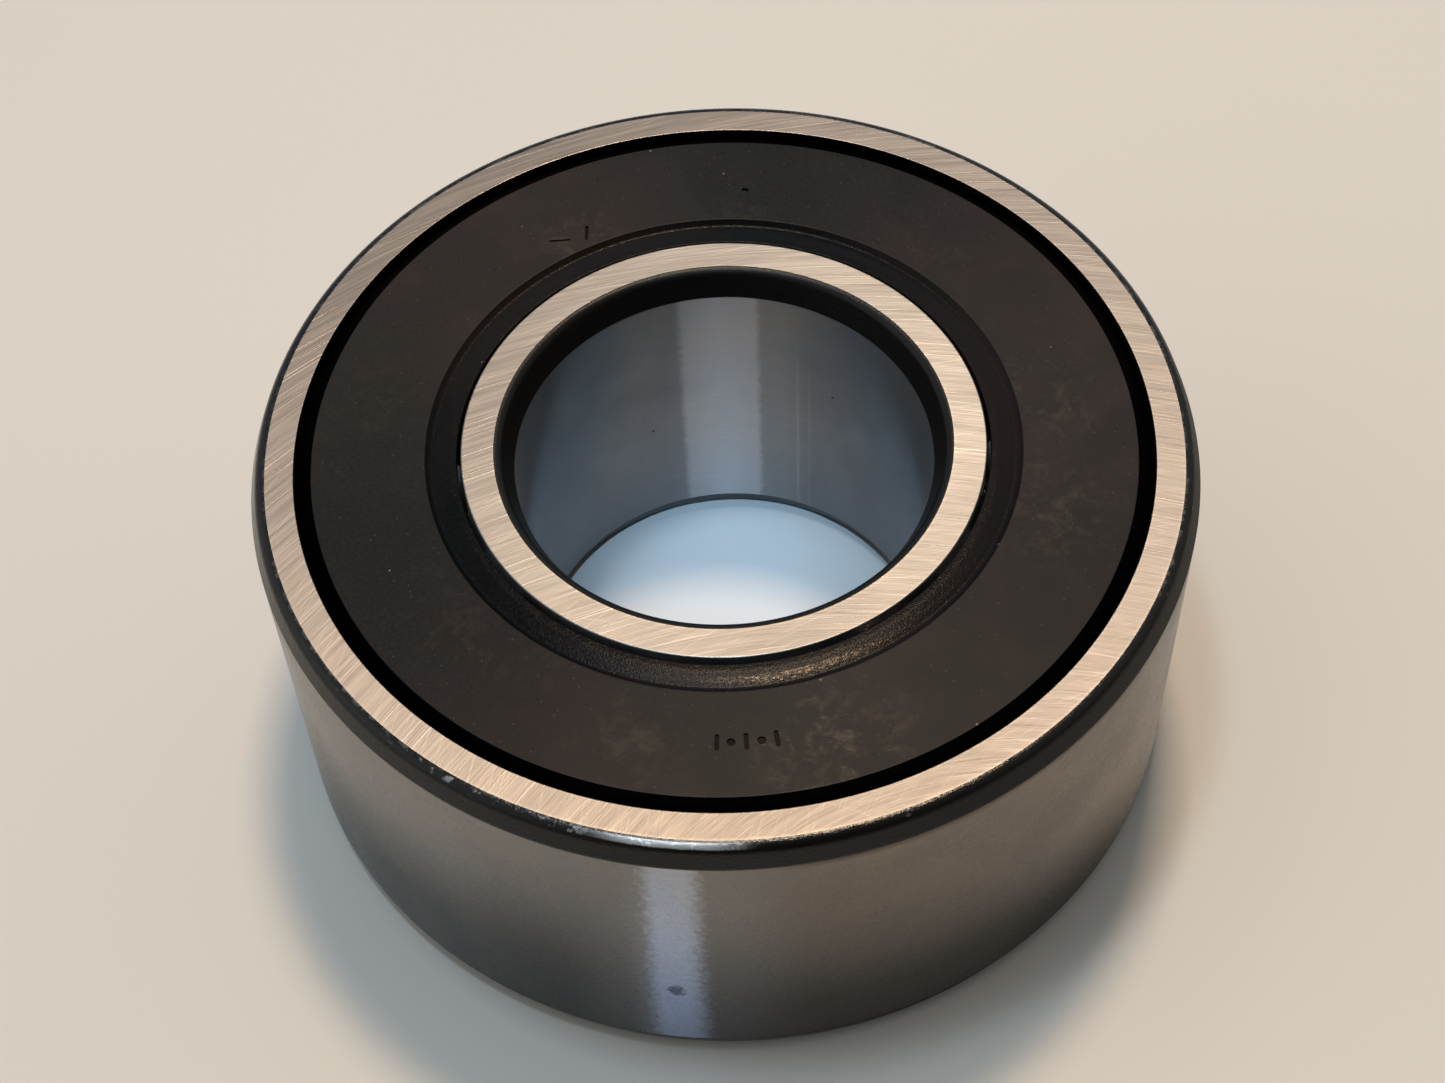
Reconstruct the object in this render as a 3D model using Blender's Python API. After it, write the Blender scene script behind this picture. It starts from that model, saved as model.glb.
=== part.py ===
"""Sealed double-row spherical roller bearing, 40 mm bore, 90 mm outside, 38 mm wide.

Metres, +Z along the bearing axis. The origin is the centre of the spherical
raceway, which is also the middle of the bearing. Every ring is turned round Z,
so its origin is on the axis it spins about. Each roller has its origin at its
own middle, with its local Z along the line it rolls about.
"""

import math

import bmesh
import bpy
from mathutils import Matrix, Vector

MM = 0.001

# Boundary dimensions
BORE_R = 20.0
OUTSIDE_R = 45.0
HALF_WIDTH = 19.0

# Outer ring
OUTER_CHAMFER_RADIAL = 1.6
OUTER_CHAMFER_AXIAL = 2.2
SEAL_OPENING_R = 40.65
SEAL_GROOVE_R = 41.4
SEAL_GROOVE_TOP = 17.45
SEAL_SHELF_Z = 16.3
RACEWAY_SPHERE_R = 38.8

# Inner ring
BORE_CHAMFER_RADIAL = 1.8
BORE_CHAMFER_AXIAL = 2.45
SHOULDER_R = 24.9
CENTRE_LAND_R = 26.5

# Rollers
ROLLERS_PER_ROW = 14
CONTACT_ANGLE = math.radians(14.5)
ROLLER_R = 6.25
ROLLER_LENGTH = 11.0
ROLLER_CROWN_R = 37.8
ROLLER_CHAMFER = 0.5
ROLLER_ORBIT_R = 32.3  # from the sphere's centre to a roller's middle
RUNNING_GAP = 0.25

# Cages
CAGE_OFFSET = 2.8  # from a roller's axis to the inner skin of the sheet
CAGE_SHEET = 1.0
CAGE_END_GAP = 0.35
CAGE_RIM = 1.35
CAGE_FLANGE_END = -1.5
CAGE_BAR_ANGLE = math.radians(4.7)

# Guide ring
GUIDE_BORE_R = 26.85
GUIDE_OUTSIDE_R = 34.5
GUIDE_GAP = 0.3

# Seals
SEAL_FACE_Z = 18.8
SEAL_FLAT_R = 39.0
SEAL_STEP_R = 28.1
SEAL_LIP_R = 25.3
INSERT_INNER_R = 29.3
INSERT_OUTER_R = 38.6
INSERT_LOW_Z = 16.65
INSERT_HIGH_Z = 17.4
FIT_GAP = 0.3

RING_SEGMENTS = 60
ROLLER_SEGMENTS = 14

SIN_A = math.sin(CONTACT_ANGLE)
COS_A = math.cos(CONTACT_ANGLE)
PITCH_R = ROLLER_ORBIT_R * COS_A
ROW_Z = ROLLER_ORBIT_R * SIN_A


def clear_scene():
    for obj in list(bpy.data.objects):
        bpy.data.objects.remove(obj, do_unlink=True)


def material(name, colour, roughness, metallic):
    made = bpy.data.materials.new(name)
    made.use_nodes = True
    shader = made.node_tree.nodes["Principled BSDF"]
    shader.inputs["Base Color"].default_value = (*colour, 1.0)
    shader.inputs["Roughness"].default_value = roughness
    shader.inputs["Metallic"].default_value = metallic
    return made


def object_from(name, bm, surface, sharp_deg=32.0):
    bmesh.ops.recalc_face_normals(bm, faces=bm.faces)
    mesh = bpy.data.meshes.new(name)
    bm.to_mesh(mesh)
    bm.free()
    mesh.materials.append(surface)
    mesh.shade_smooth()
    mesh.set_sharp_from_angle(angle=math.radians(sharp_deg))
    obj = bpy.data.objects.new(name, mesh)
    bpy.context.collection.objects.link(obj)
    return obj


def spun(profile, segments, closed_profile):
    """A bmesh of the (radius, height) profile in millimetres, turned once round Z."""
    bm = bmesh.new()
    verts = [bm.verts.new((r * MM, 0.0, z * MM)) for r, z in profile]
    edges = [bm.edges.new(pair) for pair in zip(verts, verts[1:])]
    if closed_profile:
        edges.append(bm.edges.new((verts[-1], verts[0])))
    bmesh.ops.spin(
        bm,
        geom=verts + edges,
        cent=(0.0, 0.0, 0.0),
        axis=(0.0, 0.0, 1.0),
        angle=math.tau,
        steps=segments,
    )
    bmesh.ops.remove_doubles(bm, verts=bm.verts, dist=1e-7)
    return bm


def turned_ring(name, profile, surface, segments=RING_SEGMENTS):
    return object_from(name, spun(profile, segments, True), surface)


def along_roller(s, offset):
    """(radius, height) of a point s along an upper roller's axis, offset outward from it."""
    return (
        PITCH_R - s * SIN_A + offset * COS_A,
        ROW_Z + s * COS_A + offset * SIN_A,
    )


def rounded_corner(r_face, z_side, radial, axial, outward, steps=3):
    """Points of a rounded chamfer, from the flat face round to the cylinder."""
    points = []
    for k in range(steps + 1):
        turn = 0.5 * math.pi * k / steps
        r = r_face + outward * radial * math.sin(turn)
        z = z_side + axial * math.cos(turn)
        points.append((r, z))
    return points


def mirrored(upper):
    """The upper half of a profile followed by its mirror image below."""
    return upper + [(r, -z) for r, z in reversed(upper)]


def outer_ring(surface):
    corner = rounded_corner(
        OUTSIDE_R - OUTER_CHAMFER_RADIAL,
        HALF_WIDTH - OUTER_CHAMFER_AXIAL,
        OUTER_CHAMFER_RADIAL,
        OUTER_CHAMFER_AXIAL,
        1.0,
    )
    edge_angle = math.asin(SEAL_SHELF_Z / RACEWAY_SPHERE_R)
    raceway = [
        (
            RACEWAY_SPHERE_R * math.cos(edge_angle * k / 4),
            RACEWAY_SPHERE_R * math.sin(edge_angle * k / 4),
        )
        for k in range(4, 0, -1)
    ]
    inside = raceway + [(RACEWAY_SPHERE_R, 0.0)]
    inside += [(r, -z) for r, z in reversed(raceway)]
    recess = [
        (SEAL_GROOVE_R, SEAL_SHELF_Z),
        (SEAL_GROOVE_R, SEAL_GROOVE_TOP),
        (SEAL_OPENING_R, SEAL_GROOVE_TOP + 0.5),
        (SEAL_OPENING_R, HALF_WIDTH),
    ]
    profile = inside + [(r, -z) for r, z in recess]
    profile += [(r, -z) for r, z in corner]
    profile += list(reversed(corner)) + list(reversed(recess))
    return turned_ring("outer_ring", profile, surface)


def inner_raceway_r(z):
    """Radius of the inner raceway, a hollow arc one running gap below the rollers."""
    centre_r, centre_z = along_roller(0.0, ROLLER_CROWN_R - ROLLER_R)
    radius = ROLLER_CROWN_R + RUNNING_GAP
    return centre_r - math.sqrt(radius**2 - (centre_z - z) ** 2)


def inner_ring(surface):
    bore_corner = rounded_corner(
        BORE_R + BORE_CHAMFER_RADIAL,
        HALF_WIDTH - BORE_CHAMFER_AXIAL,
        BORE_CHAMFER_RADIAL,
        BORE_CHAMFER_AXIAL,
        -1.0,
    )
    raceway = [(inner_raceway_r(z), z) for z in (12.15, 9.6, 7.0, 4.4)]
    upper = list(reversed(bore_corner))
    upper += [
        (SHOULDER_R - 0.15, HALF_WIDTH),
        (SHOULDER_R, HALF_WIDTH - 0.15),
        (SHOULDER_R, 12.45),
    ]
    upper += raceway + [(CENTRE_LAND_R, 1.8)]
    return turned_ring("inner_ring", mirrored(upper), surface)


def guide_ring(surface):
    """Loose ring between the rows. Its sides lean with the rollers' inner ends."""
    end_r, end_z = along_roller(-ROLLER_LENGTH / 2, 0.0)

    def half_thickness(r):
        return end_z - GUIDE_GAP / COS_A + (r - end_r) * SIN_A / COS_A

    upper = [
        (GUIDE_BORE_R, half_thickness(GUIDE_BORE_R)),
        (GUIDE_OUTSIDE_R, half_thickness(GUIDE_OUTSIDE_R)),
    ]
    return turned_ring("guide_ring", mirrored(upper), surface)


def seal_profile():
    """Rubber seal for the upper side, with a snap bead outside and a dished lip inside."""
    groove_r = SEAL_GROOVE_R - FIT_GAP
    low = SEAL_SHELF_Z + FIT_GAP
    return [
        (SEAL_STEP_R, SEAL_FACE_Z),
        (SEAL_FLAT_R, SEAL_FACE_Z),
        (39.75, 18.6),
        (40.15, 18.15),
        (40.3, 17.7),
        (groove_r, 17.2),
        (groove_r, low),
        (INSERT_OUTER_R + FIT_GAP, low),
        (INSERT_OUTER_R + FIT_GAP, INSERT_HIGH_Z + FIT_GAP),
        (INSERT_INNER_R - FIT_GAP, INSERT_HIGH_Z + FIT_GAP),
        (INSERT_INNER_R - FIT_GAP, low),
        (26.6, low),
        (SEAL_LIP_R, 17.3),
        (SEAL_LIP_R, 18.3),
        (25.75, 17.95),
        (26.5, 17.72),
        (27.35, 17.86),
        (27.85, 18.25),
        (28.05, 18.55),
    ]


def seal(name, side, surface):
    profile = [(r, side * z) for r, z in seal_profile()]
    return turned_ring(name, profile, surface)


def seal_insert(name, side, surface):
    profile = [
        (INSERT_INNER_R, side * INSERT_LOW_Z),
        (INSERT_OUTER_R, side * INSERT_LOW_Z),
        (INSERT_OUTER_R, side * INSERT_HIGH_Z),
        (INSERT_INNER_R, side * INSERT_HIGH_Z),
    ]
    return turned_ring(name, profile, surface)


def roller_mesh(surface):
    half = ROLLER_LENGTH / 2

    def crown(s):
        return ROLLER_R - ROLLER_CROWN_R + math.sqrt(ROLLER_CROWN_R**2 - s * s)

    shoulder = half - ROLLER_CHAMFER
    profile = [
        (crown(half) - ROLLER_CHAMFER, -half),
        (crown(shoulder), -shoulder),
        (crown(0.0), 0.0),
        (crown(shoulder), shoulder),
        (crown(half) - ROLLER_CHAMFER, half),
    ]
    bm = spun(profile, ROLLER_SEGMENTS, False)
    ends = [edge for edge in bm.edges if edge.is_boundary]
    bmesh.ops.holes_fill(bm, edges=ends, sides=0)
    first = object_from("roller_pattern", bm, surface)
    mesh = first.data
    bpy.data.objects.remove(first, do_unlink=True)
    mesh.name = "barrel_roller"
    return mesh


def roller_azimuth(side, k):
    """Azimuth of roller k. The lower row sits half a pitch round from the upper."""
    half_pitch = 0.0 if side > 0 else 0.5
    return math.tau * (k + half_pitch) / ROLLERS_PER_ROW


def place_rollers(row, side, mesh, cage):
    for k in range(ROLLERS_PER_ROW):
        azimuth = roller_azimuth(side, k)
        outward = Vector((math.cos(azimuth), math.sin(azimuth), 0.0))
        around = Vector((-math.sin(azimuth), math.cos(azimuth), 0.0))
        axis = Vector((0.0, 0.0, COS_A)) - outward * (side * SIN_A)
        turn = Matrix((around.cross(axis), around, axis)).transposed()
        obj = bpy.data.objects.new(f"{row}_roller_{k + 1:02d}", mesh)
        bpy.context.collection.objects.link(obj)
        obj.parent = cage
        obj.location = (outward * PITCH_R + Vector((0.0, 0.0, side * ROW_Z))) * MM
        obj.rotation_euler = turn.to_euler()


def cage(name, side, surface):
    """Pressed sheet cage: a cone with one window for each roller and a turned-in rim."""
    half = ROLLER_LENGTH / 2 + CAGE_END_GAP
    inner, outer = CAGE_OFFSET, CAGE_OFFSET + CAGE_SHEET
    section = {
        "A": (-half - CAGE_RIM, outer),
        "B": (-half, outer),
        "C": (half, outer),
        "D": (half + CAGE_SHEET, outer),
        "E": (half + CAGE_SHEET, CAGE_FLANGE_END),
        "F": (half, CAGE_FLANGE_END),
        "G": (half, inner),
        "H": (-half, inner),
        "I": (-half - CAGE_RIM, inner),
    }
    # A window's end wall runs from C to G beside the turned-in rim.
    bar_loop = "ABCDEFGHI"
    rim_loop = "CDEFG"
    foot_loop = "ABHI"
    pitch = math.tau / ROLLERS_PER_ROW
    window_steps = 3
    angles = []
    for k in range(ROLLERS_PER_ROW):
        middle = roller_azimuth(side, k) + pitch / 2
        start = middle - CAGE_BAR_ANGLE / 2
        angles.append((start, "bar"))
        window = pitch - CAGE_BAR_ANGLE
        for step in range(window_steps):
            angles.append(
                (start + CAGE_BAR_ANGLE + window * step / window_steps, "window")
            )
    bm = bmesh.new()
    rings = []
    for angle, _ in angles:
        ring = {}
        for key, (s, offset) in section.items():
            r, z = along_roller(s, offset)
            ring[key] = bm.verts.new(
                (
                    r * MM * math.cos(angle),
                    r * MM * math.sin(angle),
                    side * z * MM,
                )
            )
        rings.append(ring)

    def skin(first, second, loop):
        for a, b in zip(loop, loop[1:] + loop[0]):
            bm.faces.new((first[a], first[b], second[b], second[a]))

    for j, (_, kind) in enumerate(angles):
        first, second = rings[j], rings[(j + 1) % len(rings)]
        if kind == "bar":
            skin(first, second, bar_loop)
            for ring in (first, second):
                bm.faces.new([ring[key] for key in "BCGH"])
        else:
            skin(first, second, rim_loop)
            skin(first, second, foot_loop)
    return object_from(name, bm, surface)


def main():
    clear_scene()
    ring_steel = material("ring_steel", (0.42, 0.39, 0.36), 0.38, 1.0)
    bore_steel = material("bore_steel", (0.45, 0.46, 0.48), 0.34, 1.0)
    roller_steel = material("roller_steel", (0.62, 0.62, 0.63), 0.16, 1.0)
    cage_steel = material("cage_steel", (0.33, 0.33, 0.34), 0.42, 1.0)
    guide_steel = material("guide_steel", (0.30, 0.29, 0.28), 0.5, 1.0)
    rubber = material("seal_rubber", (0.035, 0.031, 0.029), 0.62, 0.0)
    insert_steel = material("insert_steel", (0.40, 0.40, 0.41), 0.45, 1.0)

    outer_ring(ring_steel)
    inner_ring(bore_steel)
    guide_ring(guide_steel)
    barrel = roller_mesh(roller_steel)
    for row, side in (("upper", 1.0), ("lower", -1.0)):
        row_cage = cage(f"{row}_cage", side, cage_steel)
        place_rollers(row, side, barrel, row_cage)
        seal(f"{row}_seal", side, rubber)
        seal_insert(f"{row}_seal_insert", side, insert_steel)


main()
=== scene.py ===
import math

import bmesh
import bpy
from mathutils import Matrix, Vector


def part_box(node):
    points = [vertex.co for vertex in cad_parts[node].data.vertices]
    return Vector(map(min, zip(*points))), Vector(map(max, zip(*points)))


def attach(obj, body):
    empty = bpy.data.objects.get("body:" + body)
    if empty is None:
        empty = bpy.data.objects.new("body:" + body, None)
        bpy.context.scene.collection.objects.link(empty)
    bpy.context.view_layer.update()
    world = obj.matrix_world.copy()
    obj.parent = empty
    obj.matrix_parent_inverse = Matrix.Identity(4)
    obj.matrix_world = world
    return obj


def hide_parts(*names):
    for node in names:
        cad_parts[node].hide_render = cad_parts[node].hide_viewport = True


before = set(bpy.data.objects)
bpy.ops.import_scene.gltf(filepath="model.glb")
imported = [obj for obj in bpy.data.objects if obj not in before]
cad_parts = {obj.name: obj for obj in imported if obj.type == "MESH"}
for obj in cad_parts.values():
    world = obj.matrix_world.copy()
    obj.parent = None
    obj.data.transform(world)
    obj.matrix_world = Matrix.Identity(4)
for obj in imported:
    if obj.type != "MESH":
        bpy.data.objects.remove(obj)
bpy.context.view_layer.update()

MM = 0.001
TAU = math.tau

# ---------------------------------------------------------------------------
# Sizes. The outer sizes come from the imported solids; the rest follow the CAD.
# ---------------------------------------------------------------------------
_low, _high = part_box("outer_ring")
OD_R = _high.x / MM
HALF = _high.z / MM
_low, _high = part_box("inner_ring")
BORE_R = 20.0
SPHERE_R = 38.8
SHELF_Z = 16.3
FACE_OUT_R = OD_R - 1.6
FACE_IN_R = 40.65
INNER_FACE_OUT_R = 24.9
INNER_FACE_IN_R = 21.8
SEAL_Z = 18.8

ROLLERS = 14
ALPHA = math.radians(14.5)
SIN_A, COS_A = math.sin(ALPHA), math.cos(ALPHA)
ORBIT = 32.3
PITCH_R, ROW_Z = ORBIT * COS_A, ORBIT * SIN_A
ROLLER_R, ROLLER_L, CROWN_R = 6.25, 11.0, 37.8


# ---------------------------------------------------------------------------
# Small helpers for profiles and meshes
# ---------------------------------------------------------------------------
def filleted(corners, steps=5):
    """Rounds the corners of an open or closed path of (r, z, radius)."""
    out = []
    n = len(corners)
    for i, (r, z, rad) in enumerate(corners):
        p = Vector((r, z))
        if rad <= 0:
            out.append((r, z))
            continue
        a = Vector(corners[i - 1][:2]) - p
        b = Vector(corners[(i + 1) % n][:2]) - p
        half = 0.5 * a.angle(b)
        cut = min(rad / math.tan(half), 0.49 * a.length, 0.49 * b.length)
        rad = cut * math.tan(half)
        centre = p + (a.normalized() + b.normalized()).normalized() * (rad / math.sin(half))
        start = p + a.normalized() * cut - centre
        end = p + b.normalized() * cut - centre
        sweep = start.angle(end)
        turn = 1.0 if start.x * end.y - start.y * end.x > 0 else -1.0
        for k in range(steps + 1):
            t = turn * sweep * k / steps
            out.append((
                centre.x + start.x * math.cos(t) - start.y * math.sin(t),
                centre.y + start.x * math.sin(t) + start.y * math.cos(t),
            ))
    return out


def guarded(profile, near=0.05, shortest=0.30, closed=True):
    """Adds a point close to both ends of each long straight run, so flats stay flat under smooth shading."""
    out = []
    n = len(profile)
    for i in range(n):
        out.append(profile[i])
        if not closed and i == n - 1:
            break
        a, b = Vector(profile[i]), Vector(profile[(i + 1) % n])
        length = (b - a).length
        if length > shortest:
            step = (b - a) * (near / length)
            out += [tuple(a + step), tuple(b - step)]
    return out


def ellipse_corner(r_face, z_side, radial, axial, outward, steps=14):
    """Rounded chamfer from the flat face (k=0) round to the cylinder (k=steps)."""
    pts = []
    for k in range(steps + 1):
        t = 0.5 * math.pi * k / steps
        pts.append((r_face + outward * radial * math.sin(t), z_side + axial * math.cos(t)))
    return pts


def lathe(name, profile, segments, zone=None, materials=(), sharp=35.0):
    """Closed (r, z) profile in mm turned round Z. zone(mid_r, mid_z, normal_r, normal_z) picks a material index."""
    profile = guarded(profile)
    verts, faces, slots = [], [], []
    n = len(profile)
    for s in range(segments):
        a = TAU * s / segments
        c, d = math.cos(a), math.sin(a)
        verts += [(r * MM * c, r * MM * d, z * MM) for r, z in profile]
    area = 0.0
    for i in range(n):
        r0, z0 = profile[i]
        r1, z1 = profile[(i + 1) % n]
        area += r0 * z1 - r1 * z0
    ccw = area > 0
    picks = []
    for i in range(n):
        r0, z0 = profile[i]
        r1, z1 = profile[(i + 1) % n]
        dr, dz = r1 - r0, z1 - z0
        length = math.hypot(dr, dz) or 1.0
        nr, nz = (dz / length, -dr / length) if ccw else (-dz / length, dr / length)
        picks.append(zone(0.5 * (r0 + r1), 0.5 * (z0 + z1), nr, nz) if zone else 0)
    for s in range(segments):
        t = (s + 1) % segments
        for i in range(n):
            j = (i + 1) % n
            quad = (s * n + i, t * n + i, t * n + j, s * n + j)
            faces.append(quad if ccw else quad[::-1])
            slots.append(picks[i])
    mesh = bpy.data.meshes.new(name)
    mesh.from_pydata(verts, [], faces)
    for m in materials:
        mesh.materials.append(m)
    mesh.polygons.foreach_set("material_index", slots)
    mesh.shade_smooth()
    mesh.set_sharp_from_angle(angle=math.radians(sharp))
    mesh.update()
    obj = bpy.data.objects.new(name, mesh)
    bpy.context.scene.collection.objects.link(obj)
    return obj


# ---------------------------------------------------------------------------
# Node helper
# ---------------------------------------------------------------------------
class Mat:
    def __init__(self, name):
        self.mat = bpy.data.materials.new(name)
        self.mat.use_nodes = True
        self.nt = self.mat.node_tree
        self.nt.nodes.clear()
        self.out = self.nt.nodes.new("ShaderNodeOutputMaterial")
        self.bsdf = self.nt.nodes.new("ShaderNodeBsdfPrincipled")
        self.nt.links.new(self.bsdf.outputs[0], self.out.inputs[0])
        self._obj = None

    def plug(self, socket, value):
        if isinstance(value, bpy.types.NodeSocket):
            self.nt.links.new(value, socket)
        elif isinstance(value, (tuple, list)) and socket.type == "RGBA" and len(value) == 3:
            socket.default_value = (*value, 1.0)
        else:
            socket.default_value = value

    def set(self, **kw):
        for key, value in kw.items():
            self.plug(self.bsdf.inputs[key.replace("_", " ")], value)
        return self

    def node(self, kind, **props):
        made = self.nt.nodes.new(kind)
        for key, value in props.items():
            setattr(made, key, value)
        return made

    def math(self, op, a, b=0.0, c=None, clamp=False):
        m = self.node("ShaderNodeMath", operation=op, use_clamp=clamp)
        self.plug(m.inputs[0], a)
        self.plug(m.inputs[1], b)
        if c is not None:
            self.plug(m.inputs[2], c)
        return m.outputs[0]

    def vmath(self, op, a, b=(0.0, 0.0, 0.0), scale=None):
        m = self.node("ShaderNodeVectorMath", operation=op)
        self.plug(m.inputs[0], a)
        if op not in ("LENGTH", "NORMALIZE", "SCALE"):
            self.plug(m.inputs[1], b)
        if scale is not None:
            self.plug(m.inputs["Scale"], scale)
        return m.outputs["Value"] if op in ("LENGTH", "DOT_PRODUCT", "DISTANCE") else m.outputs["Vector"]

    def xyz(self):
        """Object coordinates in millimetres, as separate sockets and as a vector."""
        if self._obj is None:
            coord = self.node("ShaderNodeTexCoord")
            mm = self.vmath("SCALE", coord.outputs["Object"], scale=1000.0)
            sep = self.node("ShaderNodeSeparateXYZ")
            self.plug(sep.inputs[0], mm)
            x, y, z = sep.outputs
            r = self.math("SQRT", self.math("ADD", self.math("MULTIPLY", x, x), self.math("MULTIPLY", y, y)))
            self._obj = (mm, x, y, z, r)
        return self._obj

    def vec(self, x=0.0, y=0.0, z=0.0):
        c = self.node("ShaderNodeCombineXYZ")
        for s, v in zip(c.inputs, (x, y, z)):
            self.plug(s, v)
        return c.outputs[0]

    def noise(self, vector, scale=1.0, detail=2.0, rough=0.5, distortion=0.0, colour=False):
        n = self.node("ShaderNodeTexNoise", noise_dimensions="3D")
        self.plug(n.inputs["Vector"], vector)
        self.plug(n.inputs["Scale"], scale)
        self.plug(n.inputs["Detail"], detail)
        self.plug(n.inputs["Roughness"], rough)
        self.plug(n.inputs["Distortion"], distortion)
        return n.outputs["Color" if colour else "Fac"]

    def voronoi(self, vector, scale=1.0, feature="F1", rand=1.0):
        n = self.node("ShaderNodeTexVoronoi", voronoi_dimensions="3D", feature=feature)
        self.plug(n.inputs["Vector"], vector)
        self.plug(n.inputs["Scale"], scale)
        self.plug(n.inputs["Randomness"], rand)
        return n.outputs

    def band(self, value, a, b, lo=0.0, hi=1.0, smooth=True):
        """value from a to b mapped to lo..hi, clamped."""
        m = self.node("ShaderNodeMapRange", interpolation_type="SMOOTHSTEP" if smooth else "LINEAR", clamp=True)
        self.plug(m.inputs["Value"], value)
        for key, v in (("From Min", a), ("From Max", b), ("To Min", lo), ("To Max", hi)):
            self.plug(m.inputs[key], v)
        return m.outputs["Result"]

    def mix(self, fac, a, b, blend="MIX"):
        m = self.node("ShaderNodeMix", data_type="RGBA", blend_type=blend, clamp_factor=True)
        self.plug(m.inputs["Factor"], fac)
        self.plug(m.inputs[6], a)
        self.plug(m.inputs[7], b)
        return m.outputs[2]

    def lerp(self, fac, a, b):
        m = self.node("ShaderNodeMix", data_type="FLOAT", clamp_factor=True)
        self.plug(m.inputs["Factor"], fac)
        self.plug(m.inputs[2], a)
        self.plug(m.inputs[3], b)
        return m.outputs[0]

    def bump(self, height, distance, strength=1.0, normal=None):
        b = self.node("ShaderNodeBump")
        self.plug(b.inputs["Height"], height)
        self.plug(b.inputs["Distance"], distance)
        self.plug(b.inputs["Strength"], strength)
        if normal is not None:
            self.plug(b.inputs["Normal"], normal)
        return b.outputs[0]

    def add(self, *values):
        total = values[0]
        for v in values[1:]:
            total = self.math("ADD", total, v)
        return total

    def mul(self, *values):
        total = values[0]
        for v in values[1:]:
            total = self.math("MULTIPLY", total, v)
        return total

    def around(self, mean, harmonics):
        """Slow tone change round the axis: mean plus (cosine, sine) amounts of the 1st, 2nd ... harmonic."""
        _, x, y, _, r = self.xyz()
        c = self.math("DIVIDE", x, self.math("MAXIMUM", r, 0.001))
        s = self.math("DIVIDE", y, self.math("MAXIMUM", r, 0.001))
        ck, sk = c, s
        total = mean
        for i, (a, b) in enumerate(harmonics):
            if i:
                ck, sk = (self.math("SUBTRACT", self.mul(ck, c), self.mul(sk, s)), self.add(self.mul(sk, c), self.mul(ck, s)))
            total = self.add(total, self.mul(ck, a), self.mul(sk, b))
        return total

    def spot(self, x0, y0, radius, soft=0.6):
        """1 inside a soft round patch at (x0, y0) mm, 0 outside."""
        _, x, y, _, _ = self.xyz()
        dx = self.math("SUBTRACT", x, x0)
        dy = self.math("SUBTRACT", y, y0)
        d = self.math("SQRT", self.add(self.mul(dx, dx), self.mul(dy, dy)))
        return self.band(d, radius * (1 + soft), radius * (1 - soft))


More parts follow.
